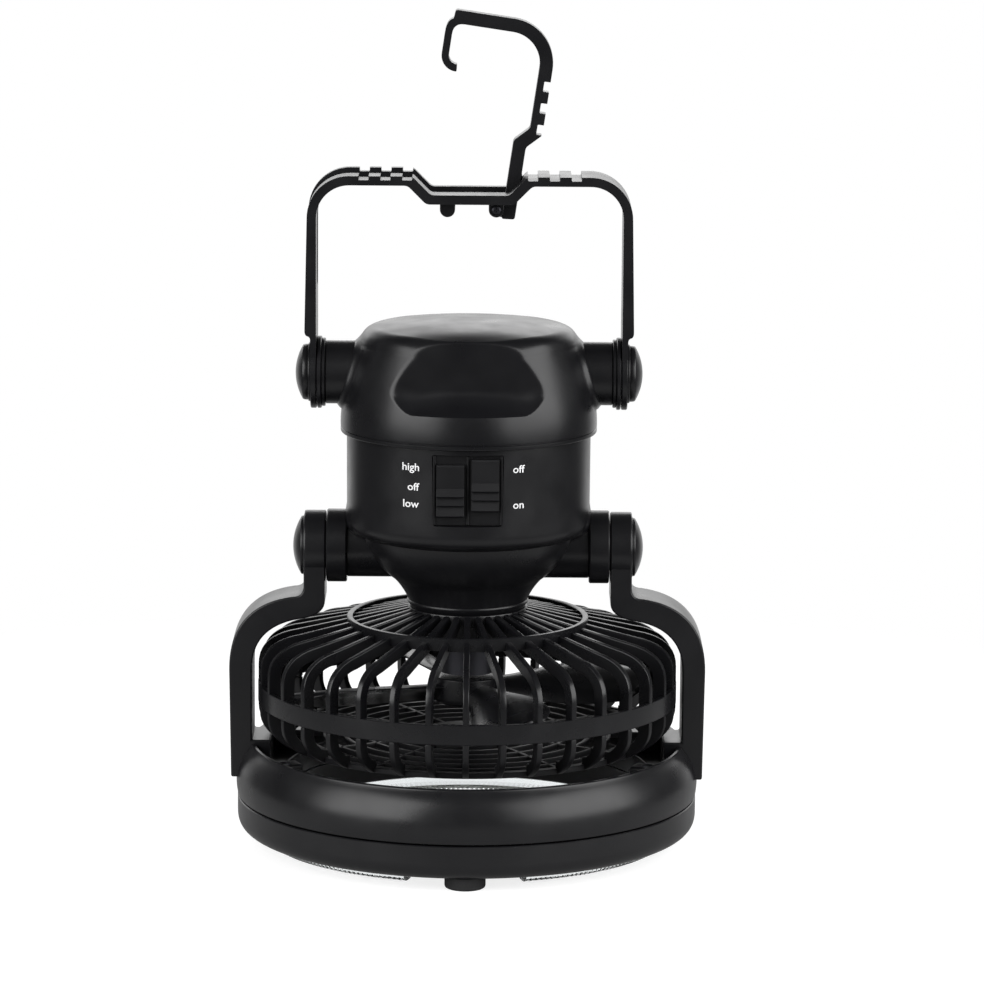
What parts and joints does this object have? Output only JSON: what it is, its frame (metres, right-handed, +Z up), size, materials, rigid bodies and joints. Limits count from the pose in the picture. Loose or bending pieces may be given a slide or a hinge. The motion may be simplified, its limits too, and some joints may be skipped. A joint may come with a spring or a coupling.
{
  "type": "portable camping fan",
  "caption": "Battery fan with a ribbed cage and a light ring base that tilts on arms, below a swinging carry handle with a folding hook.",
  "frame": {"origin": "On the surface that the feet rest on, under the fan's axis and midway between the arms.", "axes": "+Z is up along the fan's axis. Both pivot axes run along X, and +X is on the right when the switches are seen from the front. The switches face -Y."},
  "size_m": [0.1708, 0.1666, 0.2998],
  "materials": {
    "black_plastic": "satin black moulded ABS",
    "clear_lens": "clear prismatic polystyrene",
    "white_board": "white solder mask",
    "lamp_resin": "phosphor coated LED",
    "rubber": "black rubber",
    "steel": "zinc plated steel",
    "washer": "dark grey nylon",
    "green_board": "green solder mask",
    "cell": "plain grey battery jacket",
    "contact": "brass plated strip"
  },
  "bodies": {
    "stand": {"ring_upper_shell": "black_plastic", "ring_lower_shell": "black_plastic", "lens_segments": "clear_lens", "lamp_board": "white_board", "lamps": "lamp_resin", "rubber_feet": "rubber", "arm_left": "black_plastic", "arm_right": "black_plastic", "arm_screws": "steel", "ring_screws": "steel", "pivot_cap_left": "black_plastic", "pivot_cap_right": "black_plastic"},
    "head": {"neck_shell": "black_plastic", "lower_shell": "black_plastic", "upper_shell": "black_plastic", "collar_left": "black_plastic", "collar_right": "black_plastic", "handle_collar_left": "black_plastic", "handle_collar_right": "black_plastic", "pivot_bolts": "steel", "friction_washers": "washer", "handle_bolts": "steel", "switch_plate": "black_plastic", "fan_switch": "black_plastic", "light_switch": "black_plastic", "control_board": "green_board", "battery_left": "cell", "battery_right": "cell", "battery_tray": "black_plastic", "contact_springs": "steel", "contact_strip": "contact", "shell_screws": "steel", "motor_mount": "black_plastic", "motor": "steel", "rear_cage": "black_plastic", "front_guard": "black_plastic", "cage_screws": "steel"},
    "rotor": {"fan_rotor": "black_plastic", "motor_shaft": "steel"},
    "fan_switch": {"fan_switch_knob": "black_plastic"},
    "light_switch": {"light_switch_knob": "black_plastic"},
    "handle": {"handle": "black_plastic", "handle_cap_left": "black_plastic", "handle_cap_right": "black_plastic", "hook_pin": "steel"},
    "hook": {"hook": "black_plastic"}
  },
  "joints": [
    {"name": "head_tilt", "type": "hinge", "parent": "stand", "child": "head", "pos_m": [0, 0, 0.1076], "axis": [1, 0, 0], "range_deg": [-110, 110]},
    {"name": "fan_spin", "type": "hinge", "parent": "head", "child": "rotor", "pos_m": [0, 0, 0.05], "axis": [0, 0, 1], "continuous": true},
    {"name": "fan_switch_slide", "type": "slide", "parent": "head", "child": "fan_switch", "axis": [0, 0, 1], "range_m": [-0.002, 0.002]},
    {"name": "light_switch_slide", "type": "slide", "parent": "head", "child": "light_switch", "axis": [0, 0, -1], "range_m": [0, 0.004]},
    {"name": "handle_swing", "type": "hinge", "parent": "head", "child": "handle", "pos_m": [0, 0, 0.1705], "axis": [1, 0, 0], "range_deg": [-110, 110]},
    {"name": "hook_fold", "type": "hinge", "parent": "handle", "child": "hook", "pos_m": [0.0093, 0.0035, 0.2294], "axis": [0, -1, 0], "range_deg": [0, 98.4]}
  ]
}
